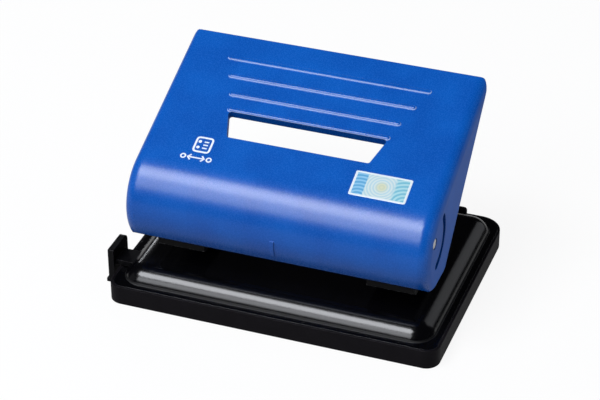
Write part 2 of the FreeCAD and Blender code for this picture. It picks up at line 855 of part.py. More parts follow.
def cover_insides(shell):
    """Add ribs, window collar, screw bosses and hinge bosses to the hollow shell."""
    high = cover_under + weld
    parts = panel_ribs() + nose_ribs()
    parts.append(window_block(collar_width, cover_under - window_collar, high))
    for side in (-1, 1):
        for y in screw_rows():
            parts.append(rod_z(side * hole_x - cover_shift, y, web_top, high, boss_diameter / 2))
    inner = cover_half - cover_wall
    boss = rod_x(inner - hinge_boss, inner + weld, hinge_s, hinge_n, ear_radius)
    return shell.fuse(parts + [boss, mirrored(boss)])


def centre_mark():
    """Short upright rib on the nose that shows the middle of the sheet."""
    half = mark_width / 2
    rib = rod_x(-half, half, nose_y, nose_z, nose_radius + mark_height)
    rib = rib.cut(rod_x(-mark_width, mark_width, nose_y, nose_z, nose_radius - weld))
    far = nose_radius + past
    low = nose_z - lip_below + mark_rise
    return rib.common(box(-mark_width, mark_width, nose_y - far, nose_y, low, nose_z + mark_over))


def handle_cover():
    """Blue moulded lever cover."""
    cover = cover_form(0, 0).cut(cover_form(cover_wall, rear_wall))
    cover = cover_insides(cover)
    for index, row in enumerate(strip_rows()):
        cover = cover.fuse(strip(row, strip_half + index * strip_spread - strip_ball))
    cover = cover.fuse(strip(window_back + lip_set, window_back_half + lip_overhang - strip_ball))
    low = cover_under - window_collar - past
    cover = cover.cut(window_block(0, low, nose_radius + past))
    for side in (-1, 1):
        for y in screw_rows():
            cover = cover.cut(rod_z(side * hole_x - cover_shift, y, web_top - past,
                                    web_top + screw_bite + screw_spare,
                                    screw_diameter / 2 + run_gap))
    far = cover_half + past
    cover = cover.cut(rod_x(-far, far, hinge_s, hinge_n, hinge_r + run_gap))
    cover = cover.cut(rod_x(-hole_x, hole_x, hinge_s, hinge_n, hinge_r + rib_to_pin))
    cover = tip_up(cover)
    cover = cover.common(plate_yz(side_profile(), -far, far))
    cover = cover.fuse(centre_mark())
    slot = cheek_slot(cover_half - cover_wall - past, far)
    cover = cover.cut(slot).cut(mirrored(slot)).removeSplitter()
    cover.translate(Vector(cover_shift, 0, 0))
    return cover


def guide_stop():
    """Upright plate that the paper's edge meets, with a small toe at its foot."""
    x0 = stop_face - stop_thickness
    y0 = bar_front - stop_ahead
    y1 = y0 + stop_depth
    top = plateau_height + stop_over_plateau
    stop = plate_yz([(y0, stop_foot, 0.4), (y1, stop_foot, 1.0), (y1, top, 2.5),
                     (y0, top, 0.6)], x0, stop_face)
    toe_top = stop_foot + stop_toe_height
    toe = plate_yz([(y0, stop_foot, 0.3), (y1, stop_foot, 0.3), (y1, toe_top, 0.3),
                    (y0, toe_top, 0.3)], x0 - stop_toe, x0 + weld)
    return stop.fuse(toe)


def paper_guide():
    """Sliding bar with an upright stop, notched where common sheets are centred."""
    x0 = stop_face - weld
    x1 = x0 + bar_length
    y1 = bar_front + bar_width
    bar = outline([(x0, bar_front, 0), (x1, bar_front, bar_corner), (x1, y1, bar_corner),
                   (x0, y1, 0)], flat_xy(bar_z)).extrude(Vector(0, 0, bar_thickness))
    for height in paper_heights:
        x = leaf_x + height / 2 + stop_face
        centre = Vector(x, bar_front - past, bar_top - notch_depth + notch_radius)
        bar = bar.cut(Part.makeCylinder(notch_radius, bar_width + 2 * past, centre,
                                        Vector(0, 1, 0)))
    return guide_stop().fuse(bar).removeSplitter()


def guide_channel():
    """Folded channel, welded under the plate by its rear flange, that carries the guide bar."""
    x0 = channel_start
    x1 = x0 + channel_length
    t = channel_sheet
    low = bar_z - channel_gap - t
    out = channel_flange + t
    body = box(x0, x1, channel_front - t, channel_back + t, low, plate_under)
    body = body.fuse(box(x0, x1, channel_back, channel_back + out, plate_under - t, plate_under))
    body = body.cut(box(x0 - past, x1 + past, channel_front, channel_back,
                        low + t, plate_under + past))
    return body.removeSplitter()


def guide_detent_spring():
    """Bowed leaf spring that clicks into the notches of the guide bar."""
    x0 = leaf_x - leaf_length / 2
    x1 = leaf_x + leaf_length / 2
    y0 = bar_front + leaf_margin
    t = leaf_thickness
    crown = bar_top + leaf_gap
    upper = Part.Arc(Vector(x0, y0, plate_under), Vector(leaf_x, y0, crown + t),
                     Vector(x1, y0, plate_under))
    lower = Part.Arc(Vector(x1, y0, plate_under - t), Vector(leaf_x, y0, crown),
                     Vector(x0, y0, plate_under - t))
    right = Part.LineSegment(Vector(x1, y0, plate_under), Vector(x1, y0, plate_under - t))
    left = Part.LineSegment(Vector(x0, y0, plate_under - t), Vector(x0, y0, plate_under))
    face = Part.Face(Part.Wire([e.toShape() for e in (upper, right, lower, left)]))
    return face.extrude(Vector(0, bar_width - 2 * leaf_margin, 0))


os.makedirs("parts", exist_ok=True)
save("chip_tray", chip_tray())
save("base_plate", base_plate())
save("frame_rivets", frame_rivets())
save("hinge_pin", hinge_pin())
save("hinge_clips", hinge_clips())
save("handle_cover", handle_cover())
save("lever_screws", lever_screws())
save("paper_guide", paper_guide())
save("guide_channel", guide_channel())
save("guide_detent_spring", guide_detent_spring())
for node, piece in (("die_plate", die_plate()), ("punch_frame", punch_frame()),
                    ("press_lever", press_lever()), ("punch", punch()),
                    ("punch_clips", punch_clips()), ("spring_seat", spring_seat()),
                    ("return_spring", return_spring()), ("cross_pin", cross_pin())):
    save(node + "_right", piece)
    save(node + "_left", mirrored(piece))
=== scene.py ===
# %% [markdown]
# # A two-hole desk punch
# The steel and plastic parts of this punch come from a finished CAD model, which stays as it is. This script dresses
# it: every part gets its real finish, the return springs and the small printed and stuck-on pieces are made here, and
# a soft studio and a camera show it. Everything is in metres, with X along the base, Y towards the back and Z up.

# %% Load the frame
import json
import math

import bmesh
import bpy
import numpy as np
from mathutils import Matrix, Vector


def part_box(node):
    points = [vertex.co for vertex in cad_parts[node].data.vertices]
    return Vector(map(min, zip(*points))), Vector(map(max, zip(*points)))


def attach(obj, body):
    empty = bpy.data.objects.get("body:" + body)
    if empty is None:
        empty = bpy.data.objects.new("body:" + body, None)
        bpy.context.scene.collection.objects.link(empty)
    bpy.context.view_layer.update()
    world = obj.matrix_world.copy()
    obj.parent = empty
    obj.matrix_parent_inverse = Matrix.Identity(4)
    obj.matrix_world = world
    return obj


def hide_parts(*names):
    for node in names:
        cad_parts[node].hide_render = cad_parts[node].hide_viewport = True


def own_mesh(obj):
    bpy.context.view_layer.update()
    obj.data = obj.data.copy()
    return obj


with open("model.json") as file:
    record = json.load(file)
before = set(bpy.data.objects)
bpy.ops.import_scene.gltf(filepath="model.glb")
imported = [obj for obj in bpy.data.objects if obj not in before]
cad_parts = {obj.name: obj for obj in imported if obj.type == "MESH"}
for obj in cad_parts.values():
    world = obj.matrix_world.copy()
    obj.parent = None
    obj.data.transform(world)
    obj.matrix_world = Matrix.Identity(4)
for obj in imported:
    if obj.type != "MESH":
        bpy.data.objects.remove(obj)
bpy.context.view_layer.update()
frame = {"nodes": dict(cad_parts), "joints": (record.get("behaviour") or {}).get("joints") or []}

mm = 0.001
nodes = frame["nodes"]

# %% [markdown]
# ## Where things are
# The lever is a rounded nose that runs into a flat panel, tilted up towards the back by the angle that the lever can
# be pressed. The sticker and the print lie on that panel, so it helps to have a function that turns a place on the
# panel into a point of the world. Besides the joint's range it needs the nose's radius and axis. A thin centre mark
# stands in front of the nose, so the part's box starts that much ahead of it.

# %% Places on the lever's panel
def joint(name):
    """The frame's joint of this name, with its range."""
    return next(j for j in frame["joints"] if j["name"] == name)


tilt = math.radians(joint("press_lever_hinge")["range_deg"][1])
nose_radius = 19.0 * mm
centre_mark = 0.4 * mm
nose_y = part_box("handle_cover")[0].y + centre_mark + nose_radius
nose_z = 34.6 * mm


def on_panel(across, back, lift):
    """Points on the lever's panel. across is X, back runs up the slope from the end of the nose, lift stands off.

    y = nose + back * cos(tilt) - (radius + lift) * sin(tilt), and z is the same turned by a right angle.
    """
    across, back, lift = np.broadcast_arrays(across, back, lift)
    out = nose_radius + lift
    y = nose_y + back * math.cos(tilt) - out * math.sin(tilt)
    z = nose_z + back * math.sin(tilt) + out * math.cos(tilt)
    return np.stack([across, y, z], axis=-1)


print("panel tilt in degrees:", round(math.degrees(tilt), 2), "nose axis y in mm:", round(nose_y / mm, 2))

# %% [markdown]
# ## A mesh from a grid of points
# New pieces could be built from Blender's own primitives and modifiers, but here each is a formula worked out on a
# grid: one direction of the grid runs along the piece and the other round it. Writing the whole grid at once with
# numpy is short, exact and fast. Points that fall together, as at a pole, are merged afterwards, and the faces are
# then turned to point outwards.

# %% Grid to mesh
same_point = 0.001 * mm


def grid_piece(name, points, finish, smooth=True):
    """A closed piece from a grid of points (rows, columns, 3): rows are loops, columns run from end to end."""
    rows, columns = points.shape[:2]
    index = np.arange(rows * columns).reshape(rows, columns)
    index = np.concatenate([index, index[:, :1]], axis=1)
    quads = np.stack([index[:-1, :-1], index[:-1, 1:], index[1:, 1:], index[1:, :-1]], axis=-1).reshape(-1, 4)
    mesh = bpy.data.meshes.new(name)
    mesh.from_pydata(points.reshape(-1, 3).tolist(), [], quads.tolist())
    tidy = bmesh.new()
    tidy.from_mesh(mesh)
    bmesh.ops.remove_doubles(tidy, verts=tidy.verts, dist=same_point)
    bmesh.ops.recalc_face_normals(tidy, faces=tidy.faces)
    tidy.to_mesh(mesh)
    tidy.free()
    mesh.polygons.foreach_set("use_smooth", np.full(len(mesh.polygons), smooth))
    mesh.materials.append(finish)
    piece = bpy.data.objects.new(name, mesh)
    bpy.context.scene.collection.objects.link(piece)
    print(name, "faces:", len(mesh.polygons))
    return piece


# %% [markdown]
# ## Writing materials as code
# A node material is a chain: coordinates go into noise, noise into colours, roughness and bumps, and those into one
# Principled shader. A few small helpers keep that readable. Patterns use Object coordinates, which are metres here
# because every part sits at the origin, so a pattern's size can be given as a real length. An image would need each
# part to be unwrapped and would show seams; a pattern that is worked out in space needs neither.

# %% Material helpers
def rgb(red, green, blue):
    """A colour written as 0 to 255 screen values, turned into the linear values that a shader takes."""
    screen = np.array([red, green, blue]) / 255
    linear = np.where(screen <= 0.04045, screen / 12.92, ((screen + 0.055) / 1.055) ** 2.4)
    return (*linear.tolist(), 1.0)


def new_finish(name, **sockets):
    """A material with its Principled shader's plain values set; returns the material, its tree and the shader."""
    material = bpy.data.materials.new(name)
    material.use_nodes = True
    shader = material.node_tree.nodes["Principled BSDF"]
    for socket, value in sockets.items():
        shader.inputs[socket.replace("_", " ")].default_value = value
    return material, material.node_tree, shader


def add(tree, kind, inputs=None, **settings):
    """Adds one shader node. Inputs may be plain values or the outputs of other nodes, which are then linked."""
    node = tree.nodes.new("ShaderNode" + kind)
    for key, value in settings.items():
        setattr(node, key, value)
    for key, value in (inputs or {}).items():
        if isinstance(value, bpy.types.NodeSocket):
            tree.links.new(value, node.inputs[key])
        else:
            node.inputs[key].default_value = value
    return node


def metres(tree, stretch=(1, 1, 1)):
    """Object coordinates in metres; stretch below 1 draws a pattern out along that axis."""
    place = add(tree, "TexCoord").outputs["Object"]
    return add(tree, "Mapping", {"Vector": place, "Scale": stretch}).outputs["Vector"]


def noise(tree, where, size, detail, rough):
    """Cloudy noise with lumps about size metres across."""
    inputs = {"Vector": where, "Scale": 1 / size, "Detail": detail, "Roughness": rough}
    return add(tree, "TexNoise", inputs).outputs[0]


def band(tree, value, low, high, start=0.0, end=1.0):
    """Maps value from low..high onto start..end, cut off outside."""
    return add(tree, "MapRange", {0: value, 1: low, 2: high, 3: start, 4: end}).outputs[0]


def blend_colours(tree, factor, first, second):
    """The first colour where factor is 0, the second where it is 1."""
    return add(tree, "Mix", {0: factor, 6: first, 7: second}, data_type="RGBA").outputs[2]


def sums(tree, operation, first, second=0.0):
    """One step of arithmetic on two values, or on one."""
    return add(tree, "Math", {0: first, 1: second}, operation=operation).outputs[0]


def along(tree, where, axis):
    """One of a vector's three values."""
    return add(tree, "SeparateXYZ", {0: where}).outputs[axis]


def soft_edges(tree, width):
    """The surface's normal with its edges rounded over by width, as every moulded or stamped edge is."""
    return add(tree, "Bevel", {"Radius": width}, samples=6).outputs["Normal"]


def worn_edges(tree, width):
    """1 on sharp outer edges and 0 on flat faces: how far a rounded normal leans away from the true one."""
    true = add(tree, "NewGeometry").outputs["Normal"]
    same = add(tree, "VectorMath", {0: soft_edges(tree, width), 1: true}, operation="DOT_PRODUCT").outputs["Value"]
    return band(tree, same, 0.99, 0.85)


def bumps(tree, height, depth, over=None):
    """A bumpy normal, with height 0 to 1 standing for depth metres, laid over softened edges if given."""
    inputs = {"Height": height, "Distance": depth, "Strength": 1.0}
    if over is not None:
        inputs["Normal"] = over
    return add(tree, "Bump", inputs).outputs["Normal"]


# %% [markdown]
# ## Moulded blue plastic
# The lever is moulded from tough blue plastic in a mould with a fine spark-eroded grain. The grain is less than half
# a millimetre across, so it is a bump and a slight flicker in roughness, with soft cloudy changes of tone over it,
# as handled plastic has. Real grain in the mesh would take millions of faces and show no better. Edges are rounded
# by a normal, and rub a little paler where hands and desks touch them. The flanks of the raised grip ribs carry a
# painted highlight: a pale blue band, found by their height over the panel, that stands in for the lamps' glint on
# them. The flat cheeks at the sides are duller than the rest, and those are found by the way they face.

# %% Blue finish
def rib_height(tree):
    """How far a point stands above the lever's flat panel, measured along the panel's normal."""
    normal = (0, -math.sin(tilt), math.cos(tilt))
    start = tuple(on_panel(0.0, 0.0, 0.0))
    place = add(tree, "TexCoord").outputs["Object"]
    from_panel = add(tree, "VectorMath", {0: place, 1: start}, operation="SUBTRACT").outputs["Vector"]
    return add(tree, "VectorMath", {0: from_panel, 1: normal}, operation="DOT_PRODUCT").outputs["Value"]


def moulded_blue():
    """Satin blue plastic with a fine mould grain, rubbed edges, a painted highlight on the rib flanks, and duller
    cheeks.
    """
    material, tree, shader = new_finish("moulded_blue", IOR=1.5)
    link = tree.links.new
    where = metres(tree)
    clouds = noise(tree, where, 14 * mm, 3.0, 0.55)
    grain = noise(tree, where, 0.42 * mm, 2.0, 0.6)
    tone = blend_colours(tree, band(tree, clouds, 0.35, 0.65), rgb(6, 79, 169), rgb(10, 89, 181))
    speck = blend_colours(tree, band(tree, grain, 0.3, 0.7, 0.0, 0.35), tone, rgb(16, 99, 198))
    rubbed = sums(tree, "MULTIPLY", worn_edges(tree, 0.5 * mm), band(tree, clouds, 0.35, 0.6, 0.1, 0.5))
    edged = blend_colours(tree, rubbed, speck, rgb(70, 130, 222))
    # Painted highlight: a pale blue band on each rib's flanks, between its foot and its crown, stands in for the
    # lamps' glint.
    height = rib_height(tree)
    over_foot = band(tree, height, 0.04 * mm, 0.12 * mm)
    under_crown = band(tree, height, 0.44 * mm, 0.34 * mm)
    painted_rib_highlight = sums(tree, "MULTIPLY", sums(tree, "MULTIPLY", over_foot, under_crown), 0.85)
    link(blend_colours(tree, painted_rib_highlight, edged, rgb(176, 200, 246)), shader.inputs["Base Color"])
    facing = along(tree, add(tree, "NewGeometry").outputs["Normal"], 0)
    sideways = band(tree, sums(tree, "ABSOLUTE", facing), 0.8, 0.98, 0.0, 0.26)
    grained = band(tree, grain, 0.3, 0.7, 0.23, 0.31)
    link(sums(tree, "ADD", grained, sideways), shader.inputs["Roughness"])
    link(bumps(tree, grain, 0.018 * mm, soft_edges(tree, 0.35 * mm)), shader.inputs["Normal"])
    return material


blue = moulded_blue()
print("finish:", blue.name)

# %% [markdown]
# ## Black enamel on pressed steel
# The base is stoved with glossy black enamel. A gloss coat is never quite flat: it has a faint orange peel some
# millimetres across. Sheets of paper slide in over it and leave hair-fine marks that run front to back, which show
# only as streaks in the gloss. Those come from noise that is drawn out along Y. In the root of the shoulders, where
# paper dust gathers, the gloss is gone.

# %% Enamel finish
def black_enamel():
    """Glossy black stove enamel with orange peel and faint sliding marks."""
    material, tree, shader = new_finish("black_enamel", IOR=1.5)
    link = tree.links.new
    where = metres(tree)
    peel = noise(tree, where, 2.6 * mm, 1.0, 0.4)
    streaks = noise(tree, metres(tree, (1, 0.03, 1)), 0.35 * mm, 2.0, 0.6)
    dust = noise(tree, where, 0.5 * mm, 3.0, 0.7)
    colour = blend_colours(tree, band(tree, dust, 0.62, 0.8, 0.0, 0.5), rgb(4, 4, 6), rgb(24, 24, 27))
    edges = sums(tree, "MULTIPLY", worn_edges(tree, 0.4 * mm), 0.25)
    link(blend_colours(tree, edges, colour, rgb(70, 70, 74)), shader.inputs["Base Color"])
    marked = band(tree, streaks, 0.35, 0.75, 0.15, 0.22)
    height = along(tree, where, 2)
    over_flange = band(tree, height, 7.42 * mm, 7.46 * mm)
    under_shoulder = band(tree, height, 8.5 * mm, 7.9 * mm)
    root = sums(tree, "MULTIPLY", sums(tree, "MULTIPLY", over_flange, under_shoulder), 0.6)
    link(sums(tree, "MAXIMUM", marked, root), shader.inputs["Roughness"])
    link(bumps(tree, peel, 0.012 * mm, soft_edges(tree, 0.25 * mm)), shader.inputs["Normal"])
    return material


enamel = black_enamel()
print("finish:", enamel.name)

# %% [markdown]
# ## Black plastics
# The chip tray is a soft, dull black plastic, so that it grips the desk and snaps over the base. The paper guide is
# black too, in a harder, smoother plastic. One function makes both: the size of the grain, the mean roughness, the
# shade and the refractive index are its arguments. A low index keeps the sides dark beside a white floor.

# %% Black plastic finishes
def black_plastic(name, grain_size, dull, shade, index):
    """Moulded black plastic: grain in bump and gloss, greyed by fine scuffs and on its edges."""
    material, tree, shader = new_finish(name, IOR=index)
    link = tree.links.new
    where = metres(tree)
    grain = noise(tree, where, grain_size, 2.0, 0.6)
    clouds = noise(tree, where, 9 * mm, 3.0, 0.6)
    scuffs = noise(tree, metres(tree, (0.12, 1, 1)), 0.5 * mm, 4.0, 0.7)
    paler = (value + 6 for value in shade)
    base = blend_colours(tree, band(tree, clouds, 0.3, 0.7), rgb(*shade), rgb(*paler))
    marked = blend_colours(tree, band(tree, scuffs, 0.6, 0.8, 0.0, 0.3), base, rgb(50, 48, 52))
    rubbed = sums(tree, "MULTIPLY", worn_edges(tree, 0.4 * mm), band(tree, clouds, 0.4, 0.6, 0.15, 0.6))
    link(blend_colours(tree, rubbed, marked, rgb(62, 60, 64)), shader.inputs["Base Color"])
    link(band(tree, grain, 0.3, 0.7, dull - 0.06, dull + 0.08), shader.inputs["Roughness"])
    link(bumps(tree, grain, 0.02 * mm, soft_edges(tree, 0.3 * mm)), shader.inputs["Normal"])
    return material


tray_black = black_plastic("tray_black", 0.5 * mm, 0.55, (12, 10, 14), 1.2)
guide_black = black_plastic("guide_black", 0.3 * mm, 0.38, (6, 6, 8), 1.2)
print("finishes:", tray_black.name, guide_black.name)

# %% [markdown]
# ## Painted frames
# The folded frames that hold the punches are black too, but with a thin dipped paint. It is less glossy than the
# enamel and thin on the edges, so the steel shows there. The colour and the metallic value are blended by the same
# mask, which is the worn edges broken up by noise.

# %% Frame paint
def frame_paint():
    """Thin black paint on folded steel, worn to bare metal on its sharpest edges."""
    material, tree, shader = new_finish("frame_paint", IOR=1.3)
    link = tree.links.new
    runs = noise(tree, metres(tree, (1, 1, 0.3)), 1.8 * mm, 2.0, 0.5)
    chips = noise(tree, metres(tree), 0.7 * mm, 3.0, 0.7)
    bare = sums(tree, "MULTIPLY", worn_edges(tree, 0.3 * mm), band(tree, chips, 0.5, 0.62))
    paint = blend_colours(tree, band(tree, runs, 0.3, 0.7), rgb(5, 5, 7), rgb(10, 10, 12))
    link(blend_colours(tree, bare, paint, rgb(150, 150, 152)), shader.inputs["Base Color"])
    link(bare, shader.inputs["Metallic"])
    link(band(tree, runs, 0.3, 0.7, 0.4, 0.55), shader.inputs["Roughness"])
    link(bumps(tree, runs, 0.02 * mm, soft_edges(tree, 0.25 * mm)), shader.inputs["Normal"])
    return material


paint = frame_paint()
print("finish:", paint.name)

# %% [markdown]
# ## Bare and plated metals
# Four metals are left to see: bright nickel on pins and rivets, zinc on the folded levers, plain spring steel, and
# the ground steel of the punches. They differ in tone, gloss and in the direction of the marks left by making them,
# so one function with four sets of values covers them.

# %% Metal finishes
def metal(name, tone, gloss, mark_size, stretch, stain):
    """Metal with fine tool marks drawn out along one axis and a faint stain."""
    material, tree, shader = new_finish(name, Metallic=1.0)
    link = tree.links.new
    marks = noise(tree, metres(tree, stretch), mark_size, 3.0, 0.65)
    cloud = noise(tree, metres(tree), 3.5 * mm, 3.0, 0.6)
    colour = blend_colours(tree, band(tree, cloud, 0.35, 0.7), rgb(*tone), rgb(*stain))
    darker = (0.72 * value for value in tone)
    shaded = blend_colours(tree, band(tree, marks, 0.3, 0.75, 0.0, 0.3), colour, rgb(*darker))
    link(shaded, shader.inputs["Base Color"])
    link(band(tree, marks, 0.3, 0.7, gloss, gloss + 0.14), shader.inputs["Roughness"])
    link(bumps(tree, marks, 0.004 * mm, soft_edges(tree, 0.15 * mm)), shader.inputs["Normal"])
    return material


nickel = metal("bright_nickel", (234, 236, 240), 0.16, 0.25 * mm, (0.2, 1, 1), (216, 218, 224))
zinc = metal("zinc_plate", (196, 200, 204), 0.3, 0.6 * mm, (1, 0.3, 1), (176, 180, 178))
spring_steel = metal("spring_steel", (160, 160, 164), 0.24, 0.2 * mm, (1, 1, 1), (128, 124, 120))
tool_steel = metal("tool_steel", (190, 191, 194), 0.2, 0.12 * mm, (0.05, 0.05, 1), (150, 146, 142))
print("metals:", nickel.name, zinc.name, spring_steel.name, tool_steel.name)

# %% [markdown]
# ## Dressing the CAD parts
# Each part keeps its shape and gets one finish. A table of finishes and the parts that wear them is easier to check
# than a line for each part, and a part that was forgotten would show at once in the count.

# %% Give each part its finish
worn_by = {
    blue: ["handle_cover"],
    enamel: ["base_plate"],
    tray_black: ["chip_tray"],
    guide_black: ["paper_guide"],
    paint: ["punch_frame_left", "punch_frame_right", "die_plate_left", "die_plate_right"],
    nickel: ["hinge_pin", "frame_rivets", "cross_pin_left", "cross_pin_right", "lever_screws"],
    zinc: ["press_lever_left", "press_lever_right", "guide_channel", "spring_seat_left", "spring_seat_right"],
    spring_steel: ["hinge_clips", "punch_clips_left", "punch_clips_right", "guide_detent_spring",
                   "return_spring_left", "return_spring_right"],
    tool_steel: ["punch_left", "punch_right"],
}
dressed = []
for finish, names in worn_by.items():
    for name in names:
        materials = nodes[name].data.materials
        materials.clear()
        materials.append(finish)
        dressed.append(name)
print("dressed:", len(dressed), "left over:", sorted(set(nodes) - set(dressed)))

# %% [markdown]
# ## The return springs
# A coil spring round each punch lifts the lever again, and it is squeezed to less than half its height when the
# lever is pressed. A CAD spring can't shorten, so the springs are made here as meshes of their own. A bevelled curve
# would also do, but its length couldn't be set as closely. At either end the coil stays level for half a turn and
# climbs by little more than its wire in the next, which closes it. Between them it climbs evenly, and the wire is a
# circle carried along that line.

# %% Coil springs
wire = 0.7 * mm
free_half_turns = 5
closed_half_turns = 2
half_turns = free_half_turns + 2 * closed_half_turns
end_rise = 0.75 * mm
steps_along = 24
steps_round = 12


def coil(middle_x, middle_y, low, high, radius, side):
    """Round wire along a climbing circle.

    The middle line is (radius * cos a, radius * sin a, height(a)), and the wire adds a small circle that lies in the
    plane of the outward direction and of the upward one.
    """
    climb = (high - low - wire - 2 * end_rise) / free_half_turns
    rises = np.array([0, end_rise] + [climb] * free_half_turns + [end_rise, 0])
    knots = np.concatenate([[0], np.cumsum(rises)])
    a = np.linspace(0, half_turns * math.pi, half_turns * steps_along + 1)
    height = low + wire / 2 + np.interp(a / math.pi, np.arange(half_turns + 1), knots)
    outward = np.stack([side * np.cos(a), np.sin(a), np.zeros_like(a)], axis=-1)
    line = np.stack([middle_x + 0 * a, middle_y + 0 * a, height], axis=-1) + radius * outward
    line = np.concatenate([line[:1], line, line[-1:]])
    outward = np.concatenate([outward[:1], outward, outward[-1:]])
    thick = np.concatenate([[0], np.full(len(a), wire / 2), [0]])[:, None, None]
    b = np.linspace(0, 2 * math.pi, steps_round, endpoint=False)[None, :, None]
    up = np.array([0.0, 0.0, 1.0])
    return line[:, None, :] + thick * (np.cos(b) * outward[:, None, :] + np.sin(b) * up)


for side, label in ((1, "right"), (-1, "left")):
    node = "return_spring_" + label
    low_corner, high_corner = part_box(node)
    middle = (low_corner + high_corner) / 2
    radius = (high_corner.x - low_corner.x) / 2 - wire / 2
    points = coil(middle.x, middle.y, low_corner.z, high_corner.z, radius, side)
    spring = grid_piece("coil_spring_" + label, points, spring_steel)
    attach(spring, "base")
    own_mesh(spring)
    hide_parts(node)

# %% [markdown]
# ## The foil sticker
# At the right of the panel sits a small foil label, white at its border with pale blue, gold and teal inside. Foil
# is thin and slightly raised, with rounded corners. A picture painted on the lever would lack its edge, so the label
# is a piece of its own. Its outline is a superellipse, which is a rectangle whose corners get rounder as its power
# drops, and its section is a thin plate with a softened upper edge.

# %% Sticker shape
sticker_middle = (33.1 * mm, 5.8 * mm)
sticker_half = (10.4 * mm, 5.4 * mm)
foil_thickness = 0.09 * mm


def superellipse(half_width, half_height, power, points):
    """A rectangle with rounded corners, as x and y of points round it.

    The outline's reach in direction a is (|cos a / half width|^p + |sin a / half height|^p)^(-1/p).
    """
    a = np.linspace(0, 2 * math.pi, points, endpoint=False)
    reach = (np.abs(np.cos(a) / half_width) ** power + np.abs(np.sin(a) / half_height) ** power) ** (-1 / power)
    return reach * np.cos(a), reach * np.sin(a)


def panel_plate(middle, half, thickness):
    """A thin plate lying on the panel: rings run from its middle out to a superellipse and back underneath."""
    across, back = superellipse(*half, power=30, points=160)
    share = np.array([0, 0.5, 0.985, 1.0, 1.0, 0.5, 0])[:, None]
    lift = thickness * np.array([1, 1, 1, 0.6, 0, 0, 0])[:, None]
    return on_panel(middle[0] + share * across, middle[1] + share * back, lift)


# %% [markdown]
# The sticker's picture is plain pattern: a white border, blue waves at the left, rings with a gold middle and teal
# arcs at the right, all worked out from the place on the panel. A Mapping node turns Object coordinates into that
# place, measured from the sticker's middle, so that the pattern stays on the foil as the lever moves.

# %% Sticker finish
def panel_place(tree, middle):
    """Place on the panel in metres from a middle point: X across, Y up the slope."""
    centre = on_panel(np.array(middle[0]), np.array(middle[1]), np.array(0.0))
    level = Matrix.Rotation(-tilt, 3, "X")
    shift = -(level @ Vector(centre))
    place = add(tree, "TexCoord").outputs["Object"]
    mapping = add(tree, "Mapping", {"Vector": place, "Rotation": (-tilt, 0, 0), "Location": shift})
    return mapping.outputs["Vector"]


def distance_to(tree, where, x, y):
    """Distance on the panel from the point (x, y)."""
    flat = add(tree, "VectorMath", {0: where, 1: (1, 1, 0)}, operation="MULTIPLY").outputs["Vector"]
    return add(tree, "VectorMath", {0: flat, 1: (x, y, 0)}, operation="DISTANCE").outputs["Value"]


def ripples(tree, value, pitch):
    """A soft wave between 0 and 1 with this pitch in metres."""
    wave = sums(tree, "SINE", sums(tree, "MULTIPLY", value, 2 * math.pi / pitch))
    return band(tree, wave, -0.6, 0.6)


def printed_foil():
    """Foil with a white border, blue waves, rings round a gold middle and a fan of teal arcs."""
    material, tree, shader = new_finish("printed_foil", Metallic=0.1, IOR=1.5)
    link = tree.links.new
    where = panel_place(tree, sticker_middle)
    across, up = along(tree, where, 0), along(tree, where, 1)
    waves = ripples(tree, distance_to(tree, where, -7.0 * mm, -6.5 * mm), 1.5 * mm)
    left = blend_colours(tree, waves, rgb(92, 168, 216), rgb(150, 204, 236))
    from_rings = distance_to(tree, where, 0.4 * mm, 0.0)
    rings = blend_colours(tree, ripples(tree, from_rings, 1.1 * mm), rgb(186, 218, 228), rgb(216, 232, 232))
    gold = band(tree, from_rings, 2.6 * mm, 1.2 * mm, 0.0, 0.6)
    middle = blend_colours(tree, gold, rings, rgb(218, 216, 160))
    arcs = ripples(tree, distance_to(tree, where, 9.6 * mm, -5.4 * mm), 1.6 * mm)
    right = blend_colours(tree, arcs, rgb(120, 192, 214), rgb(178, 222, 230))
    inside = blend_colours(tree, band(tree, across, -5.6 * mm, -5.4 * mm), left, middle)
    inside = blend_colours(tree, band(tree, across, 4.4 * mm, 5.6 * mm), inside, right)
    side_border = band(tree, sums(tree, "ABSOLUTE", across), 9.5 * mm, 9.6 * mm)
    end_border = band(tree, sums(tree, "ABSOLUTE", up), 4.6 * mm, 4.7 * mm)
    border = sums(tree, "MAXIMUM", side_border, end_border)
    link(blend_colours(tree, border, inside, rgb(232, 242, 248)), shader.inputs["Base Color"])
    crinkle = noise(tree, where, 2.2 * mm, 2.0, 0.6)
    link(band(tree, crinkle, 0.3, 0.7, 0.28, 0.42), shader.inputs["Roughness"])
    link(bumps(tree, crinkle, 0.008 * mm), shader.inputs["Normal"])
    return material


sticker_points = panel_plate(sticker_middle, sticker_half, foil_thickness)
sticker = grid_piece("foil_sticker", sticker_points, printed_foil(), smooth=False)
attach(sticker, "lever")

# %% [markdown]
# ## The white print
# At the left of the panel is a small pad print in white. Here it is a plain pictogram: a sheet with two punched holes
# and a few lines, and under it a double arrow between two rings, for the space between the holes. Print has almost
# no thickness, so each mark is a ribbon a few hundredths of a millimetre thick, carried along a path on the panel.
# Ribbons stay sharp from close by, which a mask of noise and distances in the plastic's shader wouldn't.

# %% Print shapes
print_middle = (-35.3 * mm, 7.0 * mm)
ink = 0.03 * mm
ring_points = 40


